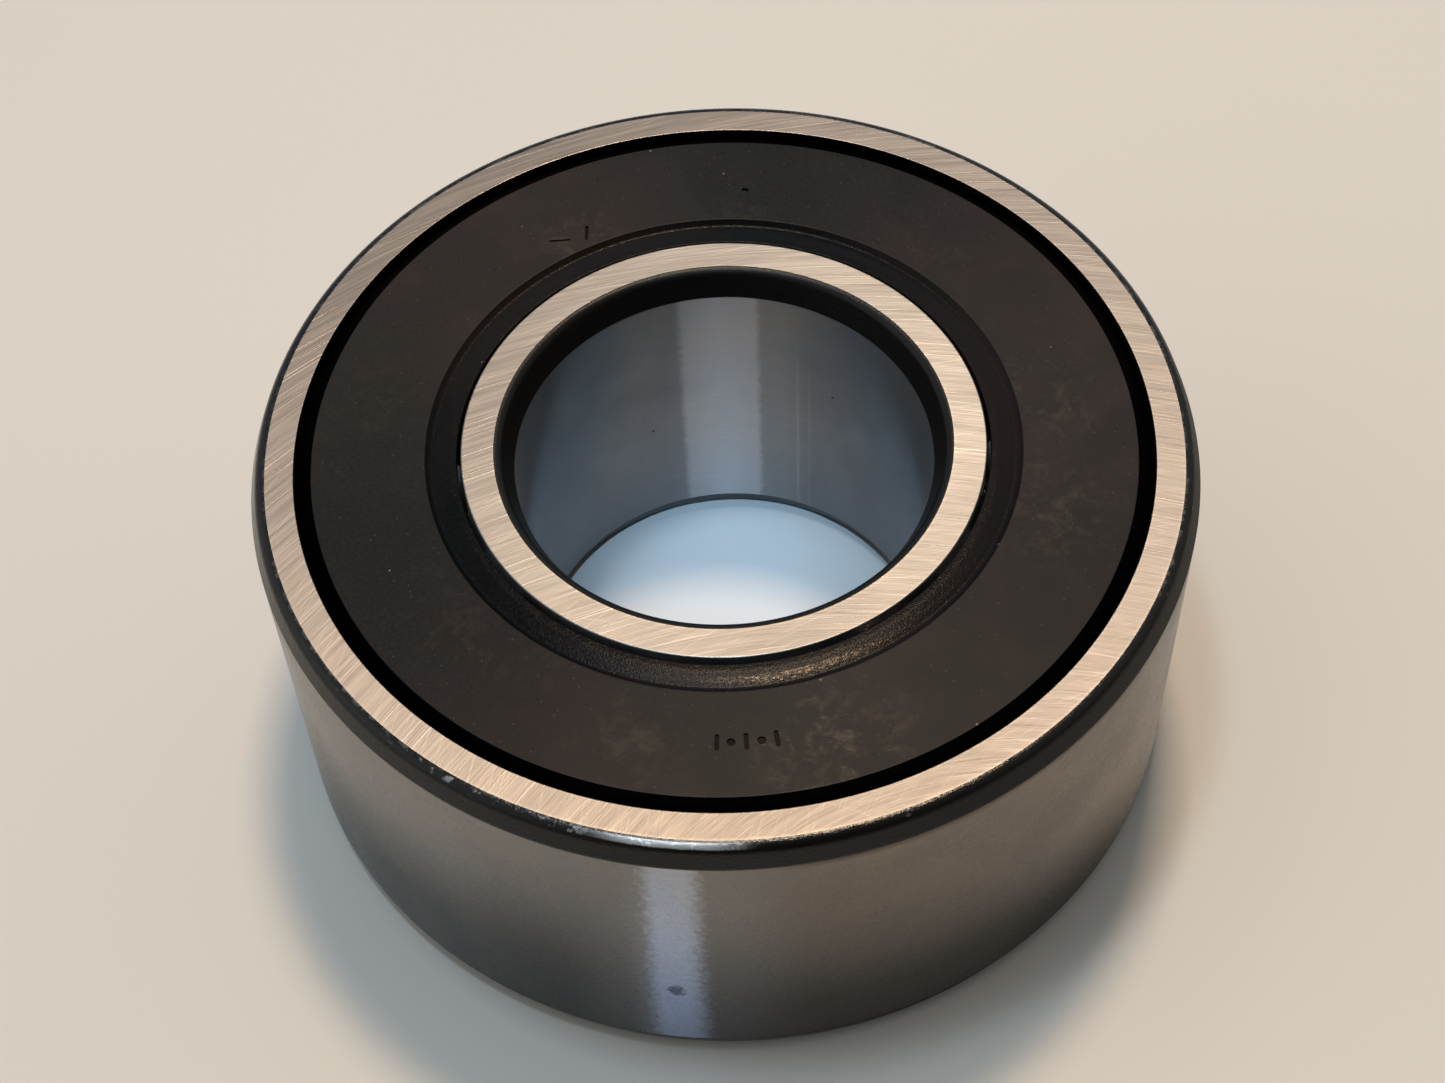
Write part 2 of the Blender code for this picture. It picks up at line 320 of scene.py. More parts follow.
# ---------------------------------------------------------------------------
# Materials
# ---------------------------------------------------------------------------
def ground_face(name, centre, edge_in, edge_out, warm, painted_light_round):
    """Ring side face: grinding arcs struck from a far centre, with a bright line at each edge, a worn bevel drawn
    partly as a painted highlight.
    """
    m = Mat(name)
    _, x, y, z, r = m.xyz()
    dx = m.math("SUBTRACT", x, centre[0])
    dy = m.math("SUBTRACT", y, centre[1])
    rho = m.math("SQRT", m.add(m.mul(dx, dx), m.mul(dy, dy)))
    arc = m.mul(m.math("ARCTAN2", dx, dy), 85.0)
    side = m.mul(z, 3.7)
    fine = m.noise(m.vec(m.mul(rho, 5.6), m.mul(arc, 0.12), side), 1.0, 3.0, 0.62)
    mid = m.noise(m.vec(m.mul(rho, 2.2), m.mul(arc, 0.085), m.add(side, 9.0)), 1.0, 2.0, 0.6)
    cross = m.noise(m.vec(m.mul(m.add(rho, m.mul(arc, 0.42)), 2.2), m.mul(arc, 0.05), m.add(side, 31.0)), 1.0, 2.0, 0.5)
    long = m.noise(m.vec(m.mul(rho, 6.2), m.mul(arc, 0.045), m.add(side, 17.0)), 1.0, 1.0, 0.4)
    bright = m.band(long, 0.66, 0.76)
    bright2 = m.band(cross, 0.70, 0.78)
    dark = m.band(m.noise(m.vec(m.mul(rho, 4.6), m.mul(arc, 0.10), m.add(side, 57.0)), 1.0, 1.0, 0.4), 0.36, 0.27)
    slant = m.add(rho, m.mul(arc, -0.30))
    scratch = m.noise(m.vec(m.mul(slant, 7.5), m.mul(arc, 0.11), m.add(side, 71.0)), 1.0, 1.0, 0.4)
    scratch2 = m.noise(m.vec(m.mul(rho, 9.5), m.mul(arc, 0.09), m.add(side, 83.0)), 1.0, 1.0, 0.4)
    # Painted light: scratch lines are drawn darker towards -X and brighter towards +X, as the light catches them.
    left = m.around(0.55, ((-0.45, 0.0),))
    scratches = m.add(m.band(scratch, 0.64, 0.72), m.band(scratch2, 0.62, 0.72),
                      m.mul(m.band(scratch2, 0.38, 0.29), -0.8, left))
    patch = m.noise(m.vec(m.mul(x, 0.09), m.mul(y, 0.09), side), 1.0, 3.0, 0.55)
    ragged = m.noise(m.vec(m.mul(x, 1.3), m.mul(y, 1.3), side), 1.0, 3.0, 0.7)
    wear_and_sheen = m.add(m.mul(ragged, 0.30), 0.0)
    # Bright edge line: a worn bevel, drawn partly as a painted highlight of the light it catches.
    edge = m.math("MAXIMUM", m.band(m.math("SUBTRACT", r, wear_and_sheen), edge_in + 0.12, edge_in - 0.02),
                  m.band(m.add(r, wear_and_sheen), edge_out - 0.12, edge_out + 0.02))
    tone = m.add(
        m.mul(m.math("SUBTRACT", fine, 0.5), 1.10),
        m.mul(m.math("SUBTRACT", mid, 0.5), 0.70),
        m.mul(m.math("SUBTRACT", patch, 0.5), 0.35),
        m.mul(bright, 0.40),
        m.mul(bright2, 0.22),
        m.mul(scratches, 0.34),
        m.mul(dark, -0.22, left),
        m.mul(m.band(scratch2, 0.66, 0.73), m.around(0.25, ((0.25, 0.0),))),
        m.mul(edge, 0.10),
        0.5,
    )
    low = tuple(c * 0.66 for c in warm)
    high = tuple(min(1.0, c * 1.34) for c in warm)
    colour = m.mix(m.band(tone, 0.0, 1.0, smooth=False), low, high)
    # Painted light: the face colour is scaled up and down round the axis, giving lighter and darker sides where the
    # light falls differently.
    colour = m.vmath("SCALE", colour, scale=m.around(*painted_light_round))
    height = m.add(m.mul(fine, 0.6), m.mul(mid, 0.4), m.mul(bright, 0.5))
    rough = m.add(0.40, m.mul(m.math("SUBTRACT", fine, 0.5), 0.26), m.mul(edge, -0.04))
    tangent = m.vmath("NORMALIZE", m.vec(m.mul(dy, -1.0), dx, 0.0))
    m.set(Base_Color=colour, Metallic=1.0, Roughness=rough, Anisotropic=0.45, Anisotropic_Rotation=0.25,
          Tangent=tangent, Normal=m.bump(height, 0.00002, 0.7))
    return m.mat


def turned_steel(name, base, cool, rough, aniso, coat, stain=0.5, seed=0.0, smudges=(), painted_light_patches=()):
    """Outer cylinder and bore: fine lines running round the ring, satin, with faint stains.
    The last argument lists patches of painted light, each (from az, to az, softness deg, from z, to z, softness mm,
    colour factor): lighter or darker places standing for shade, reflections and highlights."""
    m = Mat(name)
    vec, x, y, z, r = m.xyz()
    ang = m.math("ARCTAN2", y, x)
    around = m.mul(ang, 6.0)
    lines = m.noise(m.vec(m.mul(z, 3.2), m.mul(around, 0.35), seed), 1.0, 3.0, 0.7)
    grain = m.noise(m.vec(m.mul(x, 1.6), m.mul(y, 1.6), m.mul(z, 1.6)), 1.0, 3.0, 0.6)
    blotch = m.noise(m.vec(m.mul(x, 0.11), m.mul(y, 0.11), m.add(m.mul(z, 0.09), seed)), 1.0, 3.0, 0.55, 0.6)
    specks = m.voronoi(m.vec(m.mul(x, 0.42), m.mul(y, 0.42), m.mul(z, 0.42)), 1.0)
    dot = m.mul(m.band(specks["Distance"], 0.085, 0.05), m.band(m.vmath("LENGTH", specks["Color"]), 1.32, 1.36))
    tone = m.add(
        0.5,
        m.mul(m.math("SUBTRACT", lines, 0.5), 0.45),
        m.mul(m.math("SUBTRACT", grain, 0.5), 0.30),
        m.mul(m.math("SUBTRACT", blotch, 0.5), stain),
    )
    colour = m.mix(m.band(tone, 0.0, 1.0, smooth=False), tuple(c * 0.72 for c in base), tuple(min(1, c * 1.25) for c in base))
    colour = m.mix(m.band(blotch, 0.35, 0.7, 0.0, 0.5), colour, cool)
    colour = m.mix(m.mul(dot, 0.85), colour, (0.01, 0.01, 0.01))
    for az, zz, wa, wz, amount in smudges:
        da = m.mul(m.math("SUBTRACT", ang, math.radians(az)), 1.0 / wa)
        dz = m.mul(m.math("SUBTRACT", z, zz), 1.0 / wz)
        d = m.math("SQRT", m.add(m.mul(da, da), m.mul(dz, dz)))
        d = m.add(d, m.mul(m.math("SUBTRACT", grain, 0.5), 1.6))
        colour = m.mix(m.mul(m.band(d, 1.1, 0.5), amount), colour, (0.04, 0.04, 0.045))
    turn = m.math("ARCTAN2", y, x)
    # Painted light: each patch scales the colour to paint shade, a reflection or a highlight on the turned surface.
    for az0, az1, soft, z0, z1, zsoft, factor in painted_light_patches:
        centre, half = math.radians((az0 + az1) / 2), math.radians((az1 - az0) / 2)
        away = m.math("ABSOLUTE", m.math("WRAP", m.math("SUBTRACT", turn, centre), math.pi, -math.pi))
        away = m.add(away, m.mul(m.math("SUBTRACT", grain, 0.5), math.radians(min(3.0, soft))))
        inside = m.band(away, half + math.radians(soft) / 2, half - math.radians(soft) / 2)
        inside = m.mul(inside, m.band(z, z0 - zsoft / 2, z0 + zsoft / 2), m.band(z, z1 + zsoft / 2, z1 - zsoft / 2))
        colour = m.mix(inside, colour, m.vmath("MULTIPLY", colour, factor))
    height = m.add(m.mul(lines, 0.6), m.mul(grain, 0.5))
    rgh = m.add(rough, m.mul(m.math("SUBTRACT", grain, 0.5), 0.15), m.mul(m.math("SUBTRACT", blotch, 0.5), 0.18))
    tangent = m.node("ShaderNodeTangent", direction_type="RADIAL", axis="Z").outputs[0]
    m.set(Base_Color=colour, Metallic=1.0, Roughness=rgh, Anisotropic=aniso, Anisotropic_Rotation=0.25,
          Tangent=tangent, Normal=m.bump(height, 0.000012, 0.6),
          Coat_Weight=coat, Coat_Roughness=0.22, Coat_IOR=2.0)
    return m.mat


def black_oxide(name, worn_z, wear, ior, matt=0.0, glint=0.0, gloss=0.13):
    """Glossy blackened chamfer. Bare steel shows through here and there along its sharp edge.
    matt: how much duller the lower half of the rounded edge is, on the +X side.
    glint: strength of a painted highlight on the upper edge, on the -Y side, drawn as bright bluish bare metal with
    speckles."""
    m = Mat(name)
    vec, x, y, z, r = m.xyz()
    ang = m.mul(m.math("ARCTAN2", y, x), 40.0)
    height_abs = m.math("ABSOLUTE", z)
    rings = m.noise(m.vec(m.mul(m.add(r, z), 2.4), m.mul(ang, 0.05), 3.0), 1.0, 2.0, 0.6)
    ragged = m.noise(m.vec(m.mul(ang, 0.9), m.mul(z, 0.4), 0.0), 1.0, 4.0, 0.75)
    fade = m.noise(m.vec(m.mul(x, 0.05), m.mul(y, 0.05), 4.0), 1.0, 2.0, 0.5)
    edge = m.band(m.add(height_abs, m.mul(m.math("SUBTRACT", ragged, 0.5), 0.34)), worn_z - 0.03, worn_z + 0.03)
    edge = m.mul(edge, m.band(fade, 0.38, 0.62, 0.1, 1.0), wear)
    scuff = m.mul(m.band(m.noise(m.vec(m.mul(x, 1.1), m.mul(y, 1.1), m.mul(z, 2.2)), 1.0, 4.0, 0.7), 0.66, 0.78), 0.15)
    fleck = m.voronoi(m.vec(m.mul(ang, 0.85), m.mul(z, 2.6), 0.0), 1.0)
    flecks = m.mul(m.band(fleck["Distance"], 0.26, 0.12), m.band(m.vmath("LENGTH", fleck["Color"]), 1.12, 1.20),
                   m.band(height_abs, worn_z - 0.62, worn_z - 0.30), m.band(fade, 0.42, 0.60), wear)
    colour = m.mix(rings, (0.0025, 0.002, 0.002), (0.006, 0.005, 0.0045))
    colour = m.mix(scuff, colour, (0.05, 0.045, 0.04))
    bare = m.math("MAXIMUM", edge, m.mul(flecks, 0.8))
    colour = m.mix(bare, colour, (0.50, 0.47, 0.43))
    rough = m.add(gloss, m.mul(rings, 0.08), m.mul(scuff, 0.5), m.mul(bare, 0.15))
    if matt:
        side = m.band(m.around(0.0, ((1.0, -0.45),)), 0.35, 0.95)
        rough = m.add(rough, m.mul(side, m.band(height_abs, worn_z - 0.12, worn_z - 0.75), matt))
    metal = bare
    if glint:
        # Painted highlight: a bright bluish metallic strip with speckles just under the upper edge, on the -Y side.
        turn = m.math("ARCTAN2", y, x)
        painted_glint = m.band(m.math("ABSOLUTE", m.math("SUBTRACT", turn, math.radians(-98.3))), math.radians(10.5), math.radians(3.0))
        glint_speckle_zone = m.band(m.math("ABSOLUTE", m.math("SUBTRACT", turn, math.radians(-119.0))), math.radians(17.0), math.radians(7.0))
        speckle = m.band(m.noise(m.vec(m.mul(ang, 1.1), m.mul(m.add(r, z), 1.6), 21.0), 1.0, 2.0, 0.6), 0.54, 0.64)
        painted_glint = m.math("MAXIMUM", m.mul(painted_glint, m.add(0.62, m.mul(speckle, 0.38))), m.mul(glint_speckle_zone, speckle, 0.34))
        painted_glint = m.mul(painted_glint, m.band(m.add(z, m.mul(m.math("SUBTRACT", ragged, 0.5), 0.22)), worn_z - 0.34, worn_z - 0.20), glint)
        painted_glint = m.mul(painted_glint, m.band(m.add(z, m.mul(m.math("SUBTRACT", ragged, 0.5), 0.02)), worn_z - 0.012, worn_z - 0.036))
        colour = m.mix(painted_glint, colour, (0.80, 0.89, 0.97))
        rough = m.lerp(painted_glint, rough, 0.54)
        metal = m.math("MAXIMUM", bare, painted_glint)
    bumps = m.noise(m.vec(m.mul(ang, 2.4), m.mul(m.add(r, z), 0.9), m.mul(m.math("SUBTRACT", r, z), 3.6)), 1.0, 3.0, 0.6)
    height = m.add(bumps, m.mul(rings, 0.25))
    m.set(Base_Color=colour, Metallic=metal, Roughness=rough, IOR=ior, Normal=m.bump(height, 0.00005, 0.9))
    return m.mat


def dark_recess(name):
    """Blackened wall of the seal recess and raceway edges."""
    m = Mat(name)
    vec, x, y, z, r = m.xyz()
    n = m.noise(m.vec(m.mul(x, 0.8), m.mul(y, 0.8), m.mul(z, 2.5)), 1.0, 3.0, 0.6)
    m.set(Base_Color=m.mix(n, (0.002, 0.0015, 0.001), (0.005, 0.004, 0.0025)), Metallic=0.0,
          Roughness=m.add(0.26, m.mul(n, 0.25)), IOR=1.25, Normal=m.bump(n, 0.00002, 0.4))
    return m.mat


def raceway_steel(name):
    m = Mat(name)
    vec, x, y, z, r = m.xyz()
    n = m.noise(m.vec(m.mul(z, 6.0), m.mul(m.math("ARCTAN2", y, x), 3.0), 0.0), 1.0, 3.0, 0.7)
    m.set(Base_Color=m.mix(n, (0.50, 0.50, 0.50), (0.66, 0.66, 0.65)), Metallic=1.0,
          Roughness=m.add(0.14, m.mul(n, 0.12)), Normal=m.bump(n, 0.000004, 0.6))
    return m.mat


def roller_steel(name):
    m = Mat(name)
    vec, x, y, z, r = m.xyz()
    n = m.noise(m.vec(m.mul(z, 5.0), m.mul(m.math("ARCTAN2", y, x), 2.0), 0.0), 1.0, 3.0, 0.7)
    haze = m.noise(m.vec(m.mul(x, 0.3), m.mul(y, 0.3), m.mul(z, 0.3)), 1.0, 2.0, 0.5)
    m.set(Base_Color=m.mix(haze, (0.58, 0.58, 0.59), (0.70, 0.70, 0.70)), Metallic=1.0,
          Roughness=m.add(0.08, m.mul(n, 0.10)), Normal=m.bump(n, 0.000003, 0.6))
    return m.mat


def pressed_steel(name, low, high, base_rough):
    m = Mat(name)
    vec, x, y, z, r = m.xyz()
    n = m.noise(m.vec(m.mul(x, 0.7), m.mul(y, 0.7), m.mul(z, 0.7)), 1.0, 4.0, 0.65)
    fine = m.noise(m.vec(m.mul(x, 4.0), m.mul(y, 4.0), m.mul(z, 4.0)), 1.0, 2.0, 0.6)
    m.set(Base_Color=m.mix(n, low, high), Metallic=1.0, Roughness=m.add(base_rough, m.mul(n, 0.22)),
          Normal=m.bump(m.add(n, m.mul(fine, 0.5)), 0.00002, 0.5))
    return m.mat


def seal_rubber(name, rough0, level, darker=1.0, grain=0.25, smears=True, dull=0.0, painted_sheen=False):
    """Black-brown nitrile rubber: soft cloudy tone, handling smudges, dust and a slight sheen.
    The last argument turns on a painted highlight on the slope of the lip, on the -Y side: a brighter, grainy, mostly
    metallic patch."""
    m = Mat(name)
    vec, x, y, z, r = m.xyz()
    cloud = m.noise(m.vec(m.mul(x, 0.07), m.mul(y, 0.07), z), 1.0, 3.0, 0.55, 0.8)
    cloud2 = m.noise(m.vec(m.mul(x, 0.23), m.mul(y, 0.23), m.add(z, 5.0)), 1.0, 4.0, 0.6, 0.5)
    fine = m.noise(m.vec(m.mul(x, 2.6), m.mul(y, 2.6), m.mul(z, 2.6)), 1.0, 3.0, 0.6)
    brown = m.band(cloud, 0.36, 0.66)
    green = m.band(cloud2, 0.55, 0.72, 0.0, 0.6)
    colour = m.mix(brown, (0.0125, 0.0120, 0.0113), (0.0195, 0.0150, 0.0145))
    colour = m.mix(green, colour, (0.0170, 0.0165, 0.0135))
    # Painted light: the rubber colour changes round the axis, lighter and warmer towards -Y where the warm light
    # reflects, darker towards -X.
    red = m.around(1.03, ((0.20, 0.15), (0.03, -0.26), (0.17, 0.38), (-0.04, 0.11)))
    leaf = m.around(0.98, ((0.17, 0.16), (0.01, -0.23), (0.10, 0.26), (0.02, 0.09)))
    blue = m.around(1.02, ((0.20, 0.17), (0.05, -0.18), (0.11, 0.22), (0.01, 0.07)))
    colour = m.vmath("MULTIPLY", colour, m.vec(red, leaf, blue))
    mark = 0.0
    if smears:
        # Handling marks: dull tan smears, broken up inside, strongest near the front.
        curl = m.noise(m.vec(m.mul(x, 0.16), m.mul(y, 0.16), 3.0), 1.0, 2.0, 0.5, 0.0, colour=True)
        bent = m.vmath("ADD", m.vec(m.mul(x, 0.16), m.mul(y, 0.16), 2.0), m.vmath("SCALE", curl, scale=0.9))
        streak = m.noise(bent, 2.6, 5.0, 0.66, 0.9)
        smear = m.noise(m.vec(m.mul(x, 0.30), m.mul(y, 0.30), 7.0), 1.0, 3.0, 0.6, 1.6)
        grit = m.noise(m.vec(m.mul(x, 1.5), m.mul(y, 1.5), 4.0), 1.0, 4.0, 0.7)
        zones = m.math("MAXIMUM", m.mul(m.spot(8.6, -34.2, 6.0, 0.75), 1.15), m.mul(m.spot(-9.0, -32.5, 5.0, 0.8), 0.40))
        for sx, sy, sr, amt in ((-14.0, 27.5, 3.2, 1.0), (31.0, 3.5, 5.0, 0.75), (29.0, -9.0, 6.0, 0.65),
                                (-33.0, 8.0, 6.0, 0.25), (20.0, 22.0, 6.0, 0.25), (-22.0, -20.0, 7.0, 0.3), (3.5, 30.5, 3.0, 0.35)):
            zones = m.math("MAXIMUM", zones, m.mul(m.spot(sx, sy, sr, 0.8), amt))
        shape = m.band(m.add(m.mul(streak, 0.5), m.mul(smear, 0.35), m.mul(grit, 0.22)), 0.50, 0.74)
        mark = m.mul(zones, shape)
        colour = m.mix(m.mul(mark, 0.80), colour, (0.085, 0.066, 0.047))
    # Loose dust: sparse pale specks and a very thin film.
    specks = m.voronoi(m.vec(m.mul(x, 0.52), m.mul(y, 0.52), m.mul(z, 0.4)), 1.0)
    pick = m.band(m.vmath("LENGTH", specks["Color"]), 1.26, 1.30)
    dust = m.mul(m.band(specks["Distance"], 0.075, 0.035), pick)
    tiny = m.voronoi(m.vec(m.mul(x, 1.7), m.mul(y, 1.7), m.mul(z, 1.7)), 1.0)
    dust2 = m.mul(m.band(tiny["Distance"], 0.13, 0.06), m.band(m.vmath("LENGTH", tiny["Color"]), 1.30, 1.36), 0.35)
    colour = m.mix(m.mul(m.math("MAXIMUM", dust, dust2), 1.0 - dull), colour, (0.22, 0.21, 0.19))
    colour = m.mix(m.band(fine, 0.35, 0.75, 0.0, 0.18 * (1.0 - dull)), colour, (0.040, 0.036, 0.032))
    colour = m.vmath("SCALE", colour, scale=darker)
    rough = m.add(rough0, m.mul(m.math("SUBTRACT", fine, 0.5), 0.16), m.mul(mark, -0.12),
                  m.mul(m.math("SUBTRACT", cloud2, 0.5), 0.14))
    metal = 0.0
    if painted_sheen:
        # Painted highlight: a brighter, grainy, mostly metallic patch on the lip slope towards -Y, where the light's
        # reflection falls.
        away = m.math("ABSOLUTE", m.math("SUBTRACT", m.math("ARCTAN2", y, x), math.radians(-76.0)))
        wear_and_sheen = m.mul(m.band(away, math.radians(27.0), math.radians(6.0)), m.band(r, 26.30, 26.80), m.band(r, 27.70, 27.30))
        hide = m.noise(m.vec(m.mul(x, 2.9), m.mul(y, 4.2), m.mul(z, 2.9)), 1.0, 3.0, 0.65)
        wear_and_sheen = m.mul(wear_and_sheen, m.band(hide, 0.36, 0.66, 0.12, 1.0))
        colour = m.mix(wear_and_sheen, colour, (0.046, 0.039, 0.033))
        metal = m.mul(wear_and_sheen, 0.92)
    pits = m.noise(m.vec(m.mul(x, 5.0), m.mul(y, 5.0), m.mul(z, 5.0)), 1.0, 2.0, 0.6)
    height = m.add(m.mul(fine, 0.5), m.mul(pits, grain), m.mul(mark, 0.5))
    m.set(Base_Color=colour, Metallic=metal, Roughness=rough, IOR=1.45, Specular_IOR_Level=level,
          Normal=m.bump(height, 0.00003, 0.55))
    return m.mat


# The last value of each face is its painted light round the axis: lighter and darker sides of the face.
FACE_OUTER = ground_face("outer_face_ground", (23.0, -70.0), FACE_IN_R, FACE_OUT_R, (0.275, 0.252, 0.236),
                         (0.860, ((0.065, 0.04), (0.10, 0.09), (0.02, -0.05))))
FACE_INNER = ground_face("inner_face_ground", (8.0, -82.0), INNER_FACE_IN_R, INNER_FACE_OUT_R, (0.285, 0.267, 0.248),
                         (0.955, ((0.095, 0.15), (0.03, 0.075), (0.025, -0.025))))
# Outer cylinder patches are painted light: darker low on the front for the shaded floor it reflects, lighter and warmer
# places, and a bright bluish vertical stripe near -98 deg as a painted reflection of a light.
OD_STEEL = turned_steel("outer_cylinder_satin", (0.265, 0.247, 0.228), (0.235, 0.237, 0.245), 0.27, 0.92, 0.0, stain=0.35, seed=2.0,
                        smudges=((-98.5, -6.7, 0.020, 1.1, 0.8), (-52.0, -2.0, 0.05, 2.5, 0.12)),
                        painted_light_patches=((-150.0, -42.0, 26.0, -40.0, -1.0, 28.0, (0.56, 0.57, 0.60)),
                               (-88.0, -36.0, 16.0, -40.0, -6.0, 12.0, (0.72, 0.70, 0.68)),
                               (-180.0, -92.0, 16.0, -40.0, 8.0, 20.0, (0.96, 1.0, 1.06)),
                               (-85.0, -30.0, 14.0, -40.0, 40.0, 1.0, (1.0, 0.94, 0.86)),
                               (-84.0, -32.0, 12.0, 16.1, 40.0, 0.7, (0.60, 0.55, 0.50)),
                               (-156.0, -109.0, 10.0, -40.0, 0.5, 17.0, (0.64, 0.63, 0.62)),
                               (-122.0, -107.0, 8.0, -40.0, 10.0, 14.0, (0.84, 0.83, 0.83)),
                               (-164.0, -154.0, 7.0, 2.0, 14.0, 6.0, (1.32, 1.35, 1.38)),
                               (-87.0, -56.0, 12.0, -13.0, 16.0, 8.0, (0.80, 0.78, 0.77)),
                               (-56.0, -32.0, 9.0, 2.0, 40.0, 8.0, (0.80, 0.78, 0.76)),
                               (-54.0, -34.0, 9.0, -40.0, -12.0, 7.0, (0.66, 0.66, 0.67)),
                               (-27.0, -6.0, 10.0, 14.0, 40.0, 5.0, (0.42, 0.42, 0.43)),
                               (-25.0, -8.0, 9.0, -40.0, -7.0, 12.0, (1.36, 1.36, 1.38)),
                               (-102.6, -95.4, 4.2, -40.0, 2.0, 34.0, (1.70, 1.80, 2.00)),
                               (-102.6, -95.4, 4.2, -40.0, 40.0, 1.0, (1.10, 1.14, 1.20)),
                               (-101.0, -95.2, 2.6, -40.0, 40.0, 1.0, (1.68, 1.85, 2.20))))
# Bore patches are painted light: a bright stripe on the far wall round +90 deg and two thin bright lines as painted
# reflections, with the sides made darker.
BORE_STEEL = turned_steel("bore_satin", (0.270, 0.262, 0.255), (0.245, 0.248, 0.255), 0.34, 0.95, 0.0, stain=0.4, seed=11.0,
                          painted_light_patches=((78.5, 101.5, 2.6, -40.0, 40.0, 1.0, (1.62, 1.60, 1.62)),
                                 (66.2, 67.0, 0.9, -40.0, 8.0, 14.0, (1.26, 1.25, 1.24)),
                                 (62.7, 63.2, 0.8, -40.0, 8.0, 14.0, (1.24, 1.23, 1.22)),
                                 (101.5, 260.0, 12.0, -40.0, 40.0, 1.0, (0.84, 0.85, 0.87)),
                                 (-60.0, 66.0, 12.0, -40.0, 40.0, 1.0, (0.80, 0.80, 0.82))))
CHAMFER = black_oxide("outer_chamfer_black", HALF, 0.22, 1.40, matt=0.42, glint=0.9)
BORE_CHAMFER = black_oxide("bore_chamfer_black", HALF, 0.0, 1.33, gloss=0.30)
RECESS = dark_recess("seal_recess_dark")
RACEWAY = raceway_steel("raceway_honed")
ROLLER = roller_steel("roller_honed")
CAGE = pressed_steel("cage_pressed_sheet", (0.24, 0.24, 0.25), (0.40, 0.40, 0.40), 0.34)
GUIDE = pressed_steel("guide_ring_hardened", (0.20, 0.19, 0.18), (0.34, 0.33, 0.31), 0.30)
INSERT = pressed_steel("seal_insert_sheet", (0.34, 0.34, 0.35), (0.50, 0.50, 0.50), 0.32)
RUBBER = seal_rubber("seal_rubber_flat", 0.44, 0.15)
# The lip carries a painted highlight patch towards -Y.
RUBBER_LIP = seal_rubber("seal_rubber_lip", 0.22, 0.09, darker=0.50, grain=2.0, smears=False, painted_sheen=True)
# The bead down in the groove is made near black with no sheen: painted shade in the deep narrow groove.
RUBBER_BEAD_SHADED = seal_rubber("seal_rubber_bead_painted_shade", 0.45, 0.0, darker=0.07, smears=False, dull=0.9)
# The sunk marks are made darker than the flat: painted shade in the marks.
RUBBER_MARK_SHADED = seal_rubber("seal_rubber_marks_painted_shade", 0.50, 0.07, darker=0.42, smears=False, dull=0.8)


# ---------------------------------------------------------------------------
# Rings
# ---------------------------------------------------------------------------
def outer_ring():
    half_chamfer = [p for p in filleted([
        (FACE_IN_R, HALF, 0.0), (44.20, HALF, 1.14), (OD_R, HALF - 2.2, 0.30), (OD_R, HALF - 2.40, 0.0), (OD_R, 0.0, 0.0)], 12)][1:-1]
    recess = filleted([
        (SPHERE_R * math.cos(math.asin(SHELF_Z / SPHERE_R)), SHELF_Z, 0.0),
        (41.4, SHELF_Z, 0.12),
        (41.4, 17.45, 0.12),
        (FACE_IN_R, 17.95, 0.15),
        (FACE_IN_R, HALF, 0.10),
        (FACE_OUT_R, HALF, 0.0),
    ], 4)
    top = recess[:-1] + half_chamfer
    top = [p for i, p in enumerate(top) if i == 0 or p != top[i - 1]]
    edge = math.asin(SHELF_Z / SPHERE_R)
    arc = [(SPHERE_R * math.cos(edge * k / 20), SPHERE_R * math.sin(edge * k / 20)) for k in range(-19, 20)]
    bottom = [(r, -z) for r, z in reversed(top)]
    profile = top + bottom + arc

    def zone(r, z, nr, nz):
        if abs(z) > HALF - 0.02 and FACE_IN_R + 0.05 < r < FACE_OUT_R - 0.01:
            return 0
        if r > FACE_OUT_R - 0.02 and abs(z) > HALF - 2.40:
            return 1
        if r > OD_R - 0.05:
            return 2
        if abs(z) > SHELF_Z - 0.01:
            return 3
        return 4

    obj = lathe("outer_ring_turned", profile, 288, zone, (FACE_OUTER, CHAMFER, OD_STEEL, RECESS, RACEWAY))
    return obj


def inner_ring():
    centre_r = PITCH_R + (CROWN_R - ROLLER_R) * COS_A
    centre_z = ROW_Z + (CROWN_R - ROLLER_R) * SIN_A
    rad = CROWN_R + 0.25

    def race(z):
        return centre_r - math.sqrt(rad * rad - (centre_z - z) ** 2)

    outer = filleted([
        (BORE_R, HALF - 3.2, 0.0),
        (BORE_R, HALF - 2.70, 0.6),
        (21.20, HALF, 0.92),
        (INNER_FACE_OUT_R, HALF, 0.14),
        (INNER_FACE_OUT_R, 12.45, 0.10),
        (race(12.15), 12.15, 0.0),
    ], 9)
    raceway = [(race(z), z) for z in [12.15 - (12.15 - 1.8) * k / 18 for k in range(1, 19)]]
    top = outer + raceway
    top = [p for i, p in enumerate(top) if i == 0 or p != top[i - 1]]
    profile = top + [(r, -z) for r, z in reversed(top)]

    def zone(r, z, nr, nz):
        if abs(z) > HALF - 0.005 and r > INNER_FACE_IN_R or abs(z) > HALF - 0.16 and r > INNER_FACE_OUT_R - 0.2:
            return 0
        if r < INNER_FACE_IN_R and abs(z) > HALF - 2.70:
            return 1 if z > 0 else 5
        if r < BORE_R + 0.06:
            return 2
        if abs(z) > 12.0:
            return 3
        return 4

    return lathe("inner_ring_turned", profile, 240, zone, (FACE_INNER, BORE_CHAMFER, BORE_STEEL, INNER_SIDE, RACEWAY, RECESS))


INNER_SIDE = turned_steel("inner_shoulder_satin", (0.40, 0.38, 0.36), (0.36, 0.36, 0.37), 0.34, 0.6, 0.3, seed=23.0)


